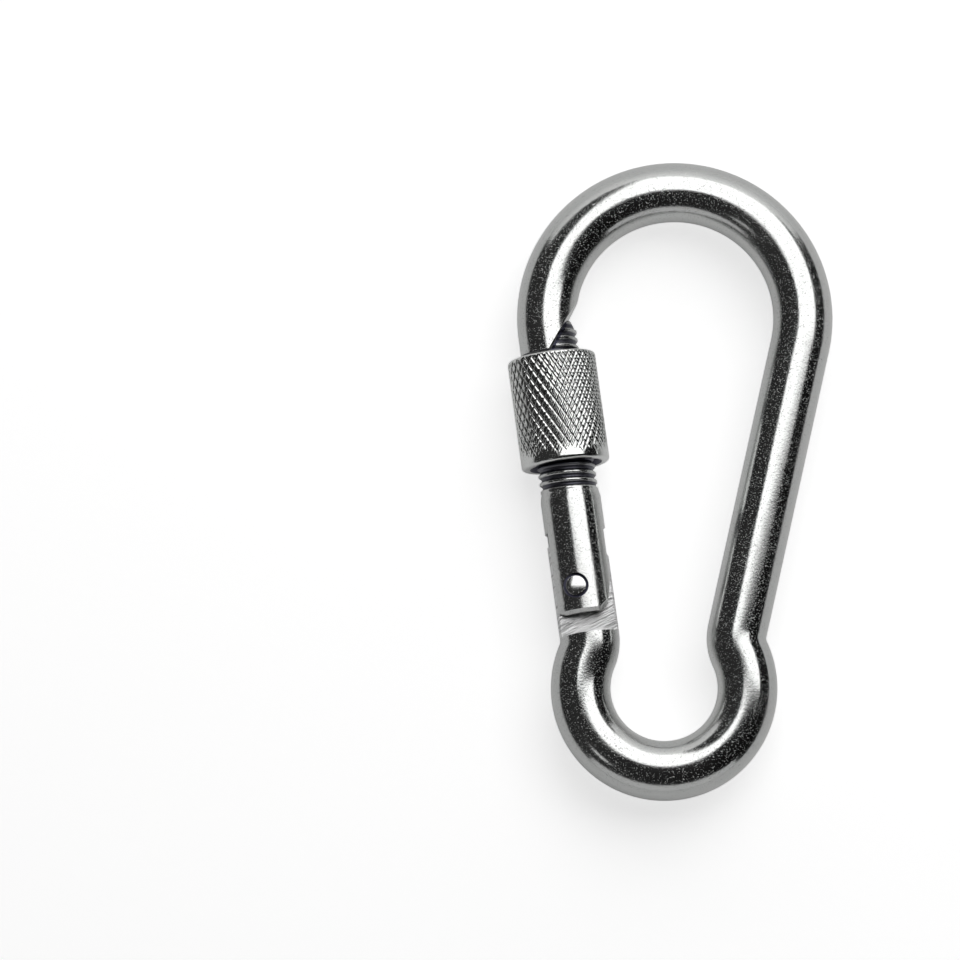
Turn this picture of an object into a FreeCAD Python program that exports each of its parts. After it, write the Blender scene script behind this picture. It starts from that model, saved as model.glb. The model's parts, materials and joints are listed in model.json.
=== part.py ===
"""Screw-gate spring hook, nominal 8 x 80, bent from round bar.  Units: millimetres.

The hook lies flat: +Z is up out of its plane, +Y runs from the small eye to the big bow
and +X from the gate to the spine.  The origin is the bottom centre of its box.

Everything is drawn first in the gate frame: its origin is the foot of the pivot on the
gate's axis, +Y runs up that axis to the nose, +X points into the hook, +Z is the pivot's
axis.  One placement at the end leans the gate and moves the origin.
"""
import FreeCAD, Part
import math
import os
from FreeCAD import Vector

# ---- driving dimensions ----------------------------------------------------------------
# bent bar
rod_dia = 7.4
big_bow_radius = 15.95        # centreline
eye_radius = 10.3             # centreline
neck_radius = 4.7             # centreline of the pinched bends above the eye
gate_inset = 8.25             # eye centre to the gate's axis
spine_inset = 7.3             # eye centre to the spine's axis
gate_lean = 7.9               # degrees, gate axis against the hook's long axis

# pivot and tang
pivot_rise = 5.9              # pivot above the milled shoulder
shank_straight = 0.2          # straight bar between the shoulder and the neck
pivot_offset = 0.9            # pivot outside the gate's axis
tang_thickness = 2.7
tang_height = 4.6             # flat top of the tang above the pivot
tang_outer_rise = 0.9         # outer shoulder of the tang above its flat top
cam_ratio = 1.5               # plunger travel per radian of swing
swing_deg = 36.0              # full opening of the gate
pin_dia = 2.5
pin_recess_depth = 0.6        # ring sunk round each rivet end
pin_recess_width = 0.3

# gate, measured up from the pivot
stem_dia = 7.5
fork_overhang = 3.4           # fork end below the pivot
fork_corner_cut = 1.0         # inner lower corner of the cheeks, at 45 degrees
fork_side_relief = 1.0        # how far the cheeks' inner side is milled back at that corner
fork_relief_top = 2.0         # where that relief starts above the pivot
fork_edge_break = 0.45
slot_depth = 7.2              # slot end above the pivot
plain_stem = 4.0              # from the slot end to the thread run-out
runout_length = 0.8
thread_dia = 7.2
thread_below_nut = 3.5
head_rise = 3.9               # top of the wedge-shaped head above the nut
head_bevel_deg = 35.0         # bevel of the head, from the gate's axis
head_round_cut = 0.8          # inner top edge of the head
bore_end_wall = 5.0           # solid metal between the bore and the nut's top

# locking nut
nut_wall = 1.0                # round the sleeve
nut_length = 13.8
nut_edge_break = 0.45
nut_mouth_depth = 1.2         # countersink at the lower end
nut_mouth_land = 0.55         # flat ring left round the countersink
nut_sleeve_depth = 5.0        # plain bore at the upper end that slides over the nose
nut_up = 2.7                  # travel to the locked end
nut_down = 3.2                # travel to the thread run-out

# nose
nose_straight = 2.35          # straight bar above the nose tip
nose_bevel_deg = 36.8         # bevel of the nose, from the gate's axis
nose_bevel_start = 0.25       # where the bevel leaves the tip, outside the axis

# spring and plunger
plunger_dia = 2.6
plunger_length = 4.6
spigot_dia = 1.4
spigot_length = 1.6
spring_wire_dia = 0.4
spring_turns = 13

# ---- named clearances ------------------------------------------------------------------
running_gap = 0.05            # radial, rivet in the tang and thread in the nut
tang_gap = 0.1                # each side of the tang in the slot
bore_gap = 0.1                # radial, plunger and spring in the bore
cam_gap = 0.04                # plunger face over the tang
seat_gap = 0.03               # spring ends on their seats
nose_gap = 0.12               # head corner under the nose bevel
tip_gap = 0.55                # nose tip over the nut's top face
head_step = 0.1               # head's low face under or over the nut's top face
sleeve_gap = 0.8              # radial, nut sleeve round the nose

# ---- sizes that follow -----------------------------------------------------------------
rod_r = rod_dia / 2
stem_r = stem_dia / 2
thread_r = thread_dia / 2
sleeve_r = max(rod_r, thread_r + 0.1) + sleeve_gap
nut_r = sleeve_r + nut_wall
bore_r = plunger_dia / 2 + bore_gap
pin_r = pin_dia / 2
slot_width = tang_thickness + 2 * tang_gap
thread_start = slot_depth + plain_stem + runout_length
nut_bottom = thread_start + thread_below_nut
nut_top = nut_bottom + nut_length
nose_tip = nut_top + tip_gap
bow_start = nose_tip + nose_straight
shoulder = -pivot_rise
neck_drop = math.sqrt((eye_radius + neck_radius) ** 2 - (gate_inset + neck_radius) ** 2)
pivot = Vector(-pivot_offset, 0, 0)
bow_centre = Vector(big_bow_radius, bow_start, 0)
neck_top = shoulder - shank_straight
eye_centre = Vector(gate_inset, neck_top - neck_drop, 0)
bore_end = nut_top - bore_end_wall
spring_seat = tang_height + cam_gap + plunger_length
z_axis = Vector(0, 0, 1)
y_axis = Vector(0, 1, 0)


def polar(centre, radius, direction):
    """The point at a radius from a centre, along a unit direction."""
    return centre + direction * radius


def turned(direction, degrees):
    """A direction in the hook's plane, turned anticlockwise."""
    return FreeCAD.Rotation(z_axis, degrees).multVec(direction)


def arc_between(centre, radius, start_dir, end_dir, through_dir):
    """A circular arc from one direction to another, by way of a third."""
    start = polar(centre, radius, start_dir)
    middle = polar(centre, radius, through_dir)
    end = polar(centre, radius, end_dir)
    return Part.Arc(start, middle, end).toShape()


def bisector(first, second):
    """The unit direction halfway between two directions less than 180 degrees apart."""
    return (first + second).normalize()


def slab(corners, thickness):
    """A flat outline of (x, y) corners, thickened evenly to both sides of the hook's plane."""
    points = [Vector(x, y, -thickness / 2) for x, y in corners]
    return Part.Face(Part.makePolygon(points + points[:1])).extrude(z_axis * thickness)


def hook_path():
    """Centreline of the bar, from the nose tip round to the shoulder.

    Two circles, the big bow and the eye, stand on the gate's axis and the spine's axis.
    Each neck is an arc that touches one axis and, from outside, the eye's circle.
    """
    between = bow_centre - eye_centre
    apart = between.Length
    taper = math.degrees(math.asin((big_bow_radius - spine_inset) / apart))
    spine_up = turned(between.normalize(), -taper)
    spine_out = turned(spine_up, -90)
    gate_out = Vector(-1, 0, 0)

    spine_drop = math.sqrt((eye_radius + neck_radius) ** 2 - (spine_inset + neck_radius) ** 2)
    gate_neck = eye_centre + gate_out * (gate_inset + neck_radius) + y_axis * neck_drop
    spine_neck = eye_centre + spine_out * (spine_inset + neck_radius) + spine_up * spine_drop
    gate_touch = (gate_neck - eye_centre).normalize()
    spine_touch = (spine_neck - eye_centre).normalize()

    nose = Vector(0, nose_tip, 0)
    bow_in = polar(bow_centre, big_bow_radius, gate_out)
    bow_out = polar(bow_centre, big_bow_radius, spine_out)
    spine_end = polar(spine_neck, neck_radius, spine_out * -1)
    eye_bottom = bisector(gate_touch, spine_touch) * -1
    over_the_top = bisector(gate_out, spine_out)
    if over_the_top.y < 0:
        over_the_top = over_the_top * -1
    return Part.Wire([
        Part.LineSegment(nose, bow_in).toShape(),
        arc_between(bow_centre, big_bow_radius, gate_out, spine_out, over_the_top),
        Part.LineSegment(bow_out, spine_end).toShape(),
        arc_between(spine_neck, neck_radius, spine_out * -1, spine_touch * -1,
                    bisector(spine_out, spine_touch) * -1),
        arc_between(eye_centre, eye_radius, spine_touch, gate_touch, eye_bottom),
        arc_between(gate_neck, neck_radius, gate_touch * -1, gate_out * -1,
                    bisector(gate_out, gate_touch) * -1),
        Part.LineSegment(Vector(0, neck_top, 0), Vector(0, shoulder, 0)).toShape(),
    ])


def cam_point(swing):
    """A point of the tang's cam, an involute: its support grows by cam_ratio per radian."""
    reach = tang_height + cam_ratio * swing
    normal = Vector(math.sin(swing), math.cos(swing), 0)
    tangent = Vector(-math.cos(swing), math.sin(swing), 0)
    return pivot + normal * reach - tangent * cam_ratio


def tang():
    """Flat tongue milled out of the bar, with the cam on its head."""
    beyond = 1.15 * math.radians(swing_deg)
    steps = 8
    cam_points = [cam_point(beyond * i / steps) for i in range(steps + 1)]
    cam = Part.BSplineCurve()
    cam.interpolate(cam_points)
    foot = neck_top
    inner_foot = Vector(rod_dia, foot, 0)
    inner_top = Vector(rod_dia, cam_points[-1].y, 0)
    outer_foot = Vector(-rod_dia, foot, 0)
    shoulder_x = -rod_r / 2 - 0.8 * tang_outer_rise
    outer_side = Vector(-rod_dia, tang_height + tang_outer_rise, 0)
    outer_shoulder = Vector(shoulder_x, tang_height + tang_outer_rise, 0)
    outer_top = Vector(-rod_r / 2, tang_height, 0)
    outline = Part.Wire([
        cam.toShape(),
        Part.LineSegment(cam_points[-1], inner_top).toShape(),
        Part.LineSegment(inner_top, inner_foot).toShape(),
        Part.LineSegment(inner_foot, outer_foot).toShape(),
        Part.LineSegment(outer_foot, outer_side).toShape(),
        Part.LineSegment(outer_side, outer_shoulder).toShape(),
        Part.LineSegment(outer_shoulder, outer_top).toShape(),
        Part.LineSegment(outer_top, cam_points[0]).toShape(),
    ])
    plate = Part.Face(outline).extrude(z_axis * tang_thickness)
    plate.translate(z_axis * (-tang_thickness / 2))
    bar = Part.makeCylinder(rod_r, rod_dia * 2 + pivot_rise, Vector(0, foot, 0), y_axis)
    hole = Part.makeCylinder(pin_r + running_gap, rod_dia, pivot - z_axis * rod_r, z_axis)
    return plate.common(bar).cut(hole)


def hook_frame():
    """The bent bar: bevelled nose, big bow, spine, necks, eye and tang."""
    section = Part.Wire(Part.makeCircle(rod_r, Vector(0, nose_tip, 0), y_axis))
    bar = hook_path().makePipeShell([section], True, False)
    slope = math.tan(math.radians(nose_bevel_deg))
    beyond = 1.4 * rod_r
    bevel_top = nose_tip + (beyond + nose_bevel_start) / slope
    bevel = slab([(-nose_bevel_start, nose_tip), (beyond, bevel_top), (beyond, nose_tip - rod_r),
                  (-nose_bevel_start, nose_tip - rod_r)], 2 * rod_dia)
    return bar.cut(bevel).fuse(tang()).removeSplitter()


def gate():
    """Round gate: forked over the tang, drilled for the spring, threaded up to its wedge head."""
    low = -fork_overhang
    head_top = nut_top + head_rise
    stem = Part.makeCylinder(stem_r, thread_start - runout_length - low, Vector(0, low, 0), y_axis)
    runout = Part.makeCone(stem_r, thread_r, runout_length,
                           Vector(0, thread_start - runout_length, 0), y_axis)
    thread = Part.makeCylinder(thread_r, head_top - thread_start, Vector(0, thread_start, 0), y_axis)
    body = stem.fuse(runout).fuse(thread)

    nose_slope = math.tan(math.radians(nose_bevel_deg))
    gap_across = nose_gap / math.cos(math.radians(nose_bevel_deg))
    corner_x = (head_top - nose_tip) * nose_slope - nose_bevel_start + gap_across
    low_face = nut_top + head_step
    bevel_x = corner_x - (head_top - low_face) * math.tan(math.radians(head_bevel_deg))
    over = head_top + rod_dia
    wedge = slab([(-rod_dia, low_face), (bevel_x, low_face), (corner_x, head_top),
                  (corner_x, over), (-rod_dia, over)], 2 * rod_dia)
    top_cut = slab([(thread_r - head_round_cut, head_top), (thread_r, over), (rod_dia, over),
                    (rod_dia, head_top - head_round_cut), (thread_r, head_top - head_round_cut)],
                   2 * rod_dia)
    body = body.cut(wedge).cut(top_cut)

    slot = Part.makeBox(2 * stem_dia, slot_depth - low + 1, slot_width,
                        Vector(-stem_dia, low - 1, -slot_width / 2))
    side_x = stem_r - fork_side_relief
    corner = slab([(side_x - fork_corner_cut, low), (side_x, low + fork_corner_cut),
                   (stem_r, fork_relief_top), (stem_dia, fork_relief_top),
                   (stem_dia, low - 1), (side_x - fork_corner_cut, low - 1)], 2 * stem_dia)
    edge_ring = Part.makeCylinder(stem_dia, fork_edge_break, Vector(0, low, 0), y_axis).cut(
        Part.makeCone(stem_r - fork_edge_break, stem_r, fork_edge_break, Vector(0, low, 0), y_axis))
    bore = Part.makeCylinder(bore_r, bore_end - slot_depth + 1, Vector(0, slot_depth - 1, 0), y_axis)
    hole = Part.makeCylinder(pin_r, 2 * stem_dia, pivot - z_axis * stem_dia, z_axis)
    body = body.cut(slot).cut(corner).cut(edge_ring).cut(bore).cut(hole)
    recess_foot = math.sqrt(stem_r ** 2 - pivot_offset ** 2) - pin_recess_depth
    for side in (1, -1):
        recess = Part.makeCylinder(pin_r + pin_recess_width, stem_dia,
                                   pivot + z_axis * side * recess_foot, z_axis * side)
        body = body.cut(recess)
    return body.removeSplitter()


def turned_piece(profile):
    """A solid of revolution about the gate's axis from (radius, height) points."""
    points = [Vector(r, y, 0) for r, y in profile]
    face = Part.Face(Part.makePolygon(points + points[:1]))
    return face.revolve(Vector(0, 0, 0), y_axis, 360)


def locking_nut():
    """Sleeve nut: threaded below, plain sleeve above that slides over the nose."""
    thread_bore = thread_r + running_gap
    mouth_r = nut_r - nut_edge_break - nut_mouth_land
    sleeve_foot = nut_top - nut_sleeve_depth
    return turned_piece([
        (mouth_r, nut_bottom),
        (nut_r - nut_edge_break, nut_bottom),
        (nut_r, nut_bottom + nut_edge_break),
        (nut_r, nut_top - nut_edge_break),
        (nut_r - nut_edge_break, nut_top),
        (sleeve_r, nut_top),
        (sleeve_r, sleeve_foot),
        (thread_bore, sleeve_foot - (sleeve_r - thread_bore)),
        (thread_bore, nut_bottom + nut_mouth_depth),
    ])


def pivot_rivet():
    """Plain pin with domed ends, staked in the gate's cheeks."""
    half = math.sqrt(stem_r ** 2 - pivot_offset ** 2)
    shank = Part.makeCylinder(pin_r, 2 * half, pivot - z_axis * half, z_axis)
    dome_r = (half ** 2 + (pin_r * 0.9) ** 2) ** 0.5
    return shank.common(Part.makeSphere(dome_r, pivot))


def spring_plunger():
    """Pin that the spring presses on the tang's cam, with a spigot inside the spring."""
    foot = tang_height + cam_gap
    edge = plunger_dia / 10
    return turned_piece([
        (0, foot),
        (plunger_dia / 2 - edge, foot),
        (plunger_dia / 2, foot + edge),
        (plunger_dia / 2, spring_seat),
        (spigot_dia / 2, spring_seat),
        (spigot_dia / 2, spring_seat + spigot_length),
        (0, spring_seat + spigot_length),
    ])


def gate_spring():
    """Compression spring between the plunger's shoulder and the end of the bore."""
    wire_r = spring_wire_dia / 2
    coil_r = bore_r - bore_gap - wire_r
    foot = spring_seat + seat_gap + wire_r
    height = bore_end - seat_gap - wire_r - foot
    pitch = height / spring_turns
    helix = Part.makeHelix(pitch, height, coil_r)
    start = Vector(coil_r, 0, 0)
    heading = Vector(0, coil_r, pitch / (2 * math.pi))
    section = Part.Wire(Part.makeCircle(wire_r, start, heading))
    coil = Part.Wire(helix.Edges).makePipeShell([section], True, True)
    coil.rotate(Vector(0, 0, 0), Vector(1, 0, 0), -90)
    coil.translate(y_axis * foot)
    return coil


pieces = {
    "hook_frame": hook_frame(),
    "gate": gate(),
    "locking_nut": locking_nut(),
    "pivot_rivet": pivot_rivet(),
    "spring_plunger": spring_plunger(),
    "gate_spring": gate_spring(),
}

# ---- lean the gate, then move the bottom centre of the box to the origin ---------------
for shape in pieces.values():
    shape.rotate(Vector(0, 0, 0), z_axis, gate_lean)
box = Part.makeCompound(list(pieces.values())).optimalBoundingBox(False, False)
shift = Vector(-(box.XMin + box.XMax) / 2, -(box.YMin + box.YMax) / 2, nut_r)

os.makedirs("parts", exist_ok=True)
for name, shape in pieces.items():
    shape.translate(shift)
    shape.exportStep(os.path.join("parts", name + ".step"))
    print(name, "valid", shape.isValid(), "solids", len(shape.Solids), "volume", round(shape.Volume, 2))

along = turned(y_axis, gate_lean)
hinge = turned(pivot, gate_lean) + shift
print("box", round(box.XLength, 3), round(box.YLength, 3), round(box.ZLength, 3))
print("pivot", hinge, "gate axis", along)
for name, spot in (("bow_centre", bow_centre), ("eye_centre", eye_centre), ("origin", Vector(0, 0, 0))):
    print(name, turned(spot, gate_lean) + shift)
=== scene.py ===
import json
import math

import bmesh
import bpy
import numpy as np
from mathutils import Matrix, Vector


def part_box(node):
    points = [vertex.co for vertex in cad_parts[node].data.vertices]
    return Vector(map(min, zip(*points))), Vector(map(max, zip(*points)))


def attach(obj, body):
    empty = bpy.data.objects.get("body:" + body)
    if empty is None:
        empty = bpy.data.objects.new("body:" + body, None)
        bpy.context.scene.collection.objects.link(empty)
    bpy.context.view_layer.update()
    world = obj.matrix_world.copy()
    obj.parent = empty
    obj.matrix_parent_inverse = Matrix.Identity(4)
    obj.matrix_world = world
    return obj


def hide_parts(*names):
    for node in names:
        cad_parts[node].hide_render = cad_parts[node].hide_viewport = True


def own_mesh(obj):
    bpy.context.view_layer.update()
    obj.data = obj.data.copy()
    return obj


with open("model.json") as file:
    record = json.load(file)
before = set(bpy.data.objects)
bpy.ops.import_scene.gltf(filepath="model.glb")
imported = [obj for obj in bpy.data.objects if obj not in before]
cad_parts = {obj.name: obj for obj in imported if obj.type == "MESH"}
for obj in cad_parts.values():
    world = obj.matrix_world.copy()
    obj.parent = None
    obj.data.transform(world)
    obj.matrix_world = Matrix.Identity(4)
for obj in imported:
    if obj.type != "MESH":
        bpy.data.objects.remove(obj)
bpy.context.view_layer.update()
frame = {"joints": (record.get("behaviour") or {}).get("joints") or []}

# ==== Hook bar ==========================================================================
# One length of round steel bar, bent into the big bow, the straight spine and the pinched
# eye.  One end is milled flat as the tang of the pivot, the other cut at a slant as the
# nose.  It is tumbled and zinc plated, which leaves a fine grain in the shine.

MM = 0.001
WELD_SNAP = 1.5e-7             # nodes closer than this, in metres, are one
SHARP_EDGE = math.radians(32.0)
joint = {j["name"]: j for j in frame["joints"]}
bar_low, bar_high = (np.array(corner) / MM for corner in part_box("hook_frame"))
pivot = np.array(joint["gate_swing"]["pos_m"]) / MM
gate_up = np.array(joint["nut_screw"]["axis"], float)
gate_in = np.array([gate_up[1], -gate_up[0], 0.0])
out_of_plane = np.array([0.0, 0.0, 1.0])

BAR_R = (bar_high[2] - bar_low[2]) / 2
BOW_R = 15.95                  # centreline radii of the bends
EYE_R = 10.3
NECK_R = 4.7
GATE_INSET = 8.25              # eye centre to the gate's axis
SPINE_INSET = 7.3              # eye centre to the spine's axis
PIVOT_OFFSET = 0.9             # pivot outside the gate's axis
PIN_R = 1.25
PIN_GAP = 0.05                 # round the pin in the tang
SHOULDER = -5.9                # milled shoulder, up the gate's axis from the pivot
SHANK_STRAIGHT = 0.2           # straight bar between the shoulder and the neck
TANG_HALF = 1.35               # half of the tang's thickness
TANG_TOP = 4.6
TANG_SHOULDER = 0.9            # rise of the tang's outer shoulder above its flat top
TANG_SHOULDER_RUN = 0.8        # its slope, mm outwards per mm of rise
CAM_RATE = 1.5                 # rise of the tang's cam, mm per radian of swing
CAM_SWEEP = 0.8                # radians of cam that are drawn
NOSE_TIP = 29.85
NOSE_STRAIGHT = 2.35           # straight bar above the nose's tip
NOSE_BEVEL = math.radians(36.8)
NOSE_RISE = 1 / math.tan(NOSE_BEVEL)
NOSE_START = 0.25              # the bevel leaves the tip this far outside the axis
EDGE = 0.11                    # rounding that tumbling leaves on cut edges

BOW_STEPS = 200                # nodes along each run of the centreline
EYE_STEPS = 170
NECK_STEPS = 36
SPINE_STEPS = 60
NOSE_STEPS = 13
SIDE_STEPS = 6                 # round the bar: in line with the tang, and on each broad face
BAR_FACE_STEPS = 36
TANG_ROWS = 25
HOLE_RINGS = 6                 # rings of nodes round a hole, crowded towards it by a power
HOLE_CROWDING = 0.7
TANG_BLOCK_UP = (-2.1, 2.1)    # the part of the tang's grid that gives way to those rings
TANG_BLOCK_IN = (1.2, -3.0)
gate_foot = pivot + PIVOT_OFFSET * gate_in


def on_gate(points):
    """Points given as (into the hook, up the gate, out of the plane), in mm from the pivot's
    foot on the gate's axis, in metres in the row frame: foot + x*in + y*up + z*out."""
    axes = np.stack([gate_in, gate_up, out_of_plane])
    return (gate_foot + np.asarray(points, float) @ axes) * MM


def grid_quads(rows, cols, first, wrap):
    """Quads of a rows-by-cols grid whose node (i, j) has index first + i*cols + j; with wrap
    the last column joins the first."""
    i = np.arange(rows - 1)[:, None]
    j = np.arange(cols if wrap else cols - 1)[None, :]
    beside = (j + 1) % cols
    corners = [i * cols + j, i * cols + beside, (i + 1) * cols + beside, (i + 1) * cols + j]
    flat = [np.broadcast_to(c, (rows - 1, j.size)).reshape(-1) for c in corners]
    return first + np.stack(flat, -1)


def weld(name, sheets, body, node):
    """One closed mesh from sheets: grids of points (rows, cols, 3) on the gate's axes, each
    with a wrap flag.  Nodes in the same place become one and all faces turn outwards."""
    points, quads, count = [], [], 0
    for sheet, wrap in sheets:
        rows, cols = sheet.shape[:2]
        points.append(on_gate(sheet).reshape(-1, 3))
        quads.append(grid_quads(rows, cols, count, wrap))
        count += rows * cols
    mesh = bpy.data.meshes.new(name)
    mesh.from_pydata(np.concatenate(points), [], np.concatenate(quads).tolist())
    work = bmesh.new()
    work.from_mesh(mesh)
    bmesh.ops.remove_doubles(work, verts=work.verts, dist=WELD_SNAP)
    bmesh.ops.dissolve_degenerate(work, edges=work.edges, dist=WELD_SNAP)
    bmesh.ops.recalc_face_normals(work, faces=work.faces)
    work.to_mesh(mesh)
    work.free()
    mesh.shade_smooth()
    piece = bpy.data.objects.new(name, mesh)
    bpy.context.scene.collection.objects.link(piece)
    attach(piece, body)
    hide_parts(node)
    return piece


def local_of(points):
    """The reverse of on_gate: metres in the row frame to mm on the gate's axes."""
    axes = np.stack([gate_in, gate_up, out_of_plane])
    return (np.asarray(points) / MM - gate_foot) @ axes.T


def soften_edges(piece, width, keep):
    """Rounds sharp edges with a two-step bevel.  An edge is sharp where its faces turn by more
    than SHARP_EDGE, and keep, given the edges' middles in mm, says which ones count."""
    mesh = piece.data
    work = bmesh.new()
    work.from_mesh(mesh)
    layer = work.edges.layers.float.new("bevel_weight_edge")
    middles = local_of([(e.verts[0].co + e.verts[1].co) / 2 for e in work.edges])
    for edge, counts in zip(work.edges, keep(middles)):
        if counts and edge.is_manifold and edge.calc_face_angle() > SHARP_EDGE:
            edge[layer] = 1.0
    work.to_mesh(mesh)
    work.free()
    bevel = piece.modifiers.new("softened edges", "BEVEL")
    bevel.limit_method = "WEIGHT"
    bevel.width = width * MM
    bevel.segments = 2
    bevel.harden_normals = True


def face_marks(piece, name, marked):
    """Writes a number per face, marked(face centres in mm), as an attribute."""
    mesh = piece.data
    centres = np.empty(len(mesh.polygons) * 3)
    mesh.polygons.foreach_get("center", centres)
    layer = mesh.attributes.new(name, "FLOAT", "FACE")
    layer.data.foreach_set("value", marked(local_of(centres.reshape(-1, 3))).astype(np.float32))


def turned_flat(direction, degrees):
    """A direction in the hook's plane, turned anticlockwise by an angle."""
    c, s = math.cos(math.radians(degrees)), math.sin(math.radians(degrees))
    return np.array([c * direction[0] - s * direction[1], s * direction[0] + c * direction[1]])


def arc_run(centre, radius, start, end, count):
    """Points centre + radius*(cos t, sin t) for t from start to end, and their headings."""
    t = np.linspace(start, end, count)[:, None]
    ahead = np.sign(end - start)
    return (np.array(centre) + radius * np.hstack([np.cos(t), np.sin(t)]),
            ahead * np.hstack([-np.sin(t), np.cos(t)]))


def straight_run(start, end, count):
    """Evenly spaced points of a line without its two ends, and their headings."""
    start, end = np.array(start, float), np.array(end, float)
    t = np.linspace(0, 1, count)[1:-1, None]
    heading = (end - start) / np.hypot(*(end - start))
    return start + t * (end - start), np.repeat(heading[None], count - 2, 0)


def bar_centreline():
    """Points and headings from the nose tip to the shoulder.  The bow's and the eye's circles
    touch or overlap the gate's and the spine's axes; each neck touches an axis and the eye."""
    bow = np.array([BOW_R, NOSE_TIP + NOSE_STRAIGHT])
    neck_top = SHOULDER - SHANK_STRAIGHT
    neck_drop = math.sqrt((EYE_R + NECK_R) ** 2 - (GATE_INSET + NECK_R) ** 2)
    eye = np.array([GATE_INSET, neck_top - neck_drop])
    apart = np.hypot(*(bow - eye))
    taper = math.degrees(math.asin((BOW_R - SPINE_INSET) / apart))
    spine_up = turned_flat((bow - eye) / apart, -taper)
    spine_out = turned_flat(spine_up, -90)
    spine_drop = math.sqrt((EYE_R + NECK_R) ** 2 - (SPINE_INSET + NECK_R) ** 2)
    spine_neck = eye + spine_out * (SPINE_INSET + NECK_R) + spine_up * spine_drop
    gate_neck = np.array([-NECK_R, neck_top])
    out = math.atan2(spine_out[1], spine_out[0])
    to_spine = math.atan2(*(spine_neck - eye)[::-1])
    to_gate = math.atan2(*(gate_neck - eye)[::-1])

    nose_y = np.linspace(NOSE_TIP, bow[1], NOSE_STEPS + 1)[:-1]
    nose_run = np.stack([0 * nose_y, nose_y], -1), np.tile([0.0, 1.0], (NOSE_STEPS, 1))
    bow_run = arc_run(bow, BOW_R, math.pi, out, BOW_STEPS)
    spine_neck_run = arc_run(spine_neck, NECK_R, out + math.pi, to_spine + math.pi, NECK_STEPS)
    spine_run = straight_run(bow_run[0][-1], spine_neck_run[0][0], SPINE_STEPS)
    eye_run = arc_run(eye, EYE_R, to_spine, to_gate - 2 * math.pi, EYE_STEPS)
    gate_neck_run = arc_run(gate_neck, NECK_R, to_gate - math.pi, 0.0, NECK_STEPS)
    shoulder = np.array([[0.0, SHOULDER]]), np.array([[0.0, 1.0]])
    runs = [nose_run, bow_run, spine_run, spine_neck_run,
            [r[1:] for r in eye_run], [r[1:] for r in gate_neck_run], shoulder]
    return [np.concatenate([run[k] for run in runs]) for k in (0, 1)]


def split_ring(half_width, radius, side_steps, face_steps):
    """Angles round a bar, even within three bands, with nodes where |z| is half_width: from
    the inner side (0) over the top to the outer side and back underneath."""
    edge = math.asin(half_width / radius)
    upper = np.concatenate([np.linspace(0, edge, side_steps + 1)[:-1],
                            np.linspace(edge, math.pi - edge, face_steps + 1)[:-1],
                            np.linspace(math.pi - edge, math.pi, side_steps + 1)])
    return np.concatenate([upper, -upper[-2:0:-1]])


def halves(ring_points):
    """Splits a ring's nodes (first axis) into its upper half and the mirror nodes below."""
    half = len(ring_points) // 2
    return ring_points[:half + 1], ring_points[np.r_[0, len(ring_points) - 1:half - 1:-1]]


def sheet_with_hole(sheet, rows, cols, centre, radius, lift):
    """A grid with a round hole: the block rows x cols is left out, and rings run from its
    border to a circle, each at lift(x, y).  Returns the sheets and the circle's nodes."""
    (top, bottom), (left, right) = rows, cols
    around = np.concatenate([
        sheet[top, left:right], sheet[top:bottom, right],
        sheet[bottom, right:left:-1], sheet[bottom:top:-1, left]])
    away = around[:, :2] - centre
    circle = centre + radius * away / np.linalg.norm(away, axis=1, keepdims=True)
    share = (np.linspace(0, 1, HOLE_RINGS) ** HOLE_CROWDING)[:, None, None]
    flat = around[None, :, :2] * (1 - share) + circle[None] * share
    rings = np.concatenate([flat, lift(flat[..., 0], flat[..., 1])[..., None]], -1)
    rings[0] = around
    parts = [(sheet[:top + 1], False), (sheet[bottom:], False),
             (sheet[top:bottom + 1, :left + 1], False), (sheet[top:bottom + 1, right:], False),
             (rings, True)]
    return parts, circle


def nearest(values, wanted):
    """Index of the value nearest to the wanted one."""
    return int(np.abs(np.asarray(values) - wanted).argmin())


def flat_ring(circle, height):
    """Nodes of a circle in the hook's plane at one height."""
    return np.concatenate([circle, np.full((len(circle), 1), height)], -1)


def nose_cap(x):
    """Height of the nose's end over x: flat at the tip, then rising along the bevel."""
    return NOSE_TIP + np.maximum(0.0, x + NOSE_START) * NOSE_RISE


def tang_top(x):
    """Height of the tang's head over x: a raised shoulder outside, a flat, and inside an
    involute, whose distance from the pivot along its own normal grows by CAM_RATE a radian."""
    swing = np.linspace(0, CAM_SWEEP, 60)
    reach = TANG_TOP + CAM_RATE * swing
    cam_x = -PIVOT_OFFSET + reach * np.sin(swing) + CAM_RATE * np.cos(swing)
    cam_y = reach * np.cos(swing) - CAM_RATE * np.sin(swing)
    inner = np.interp(x, cam_x, cam_y, left=TANG_TOP)
    return inner + np.clip((-BAR_R / 2 - x) / TANG_SHOULDER_RUN, 0.0, TANG_SHOULDER)


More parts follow.
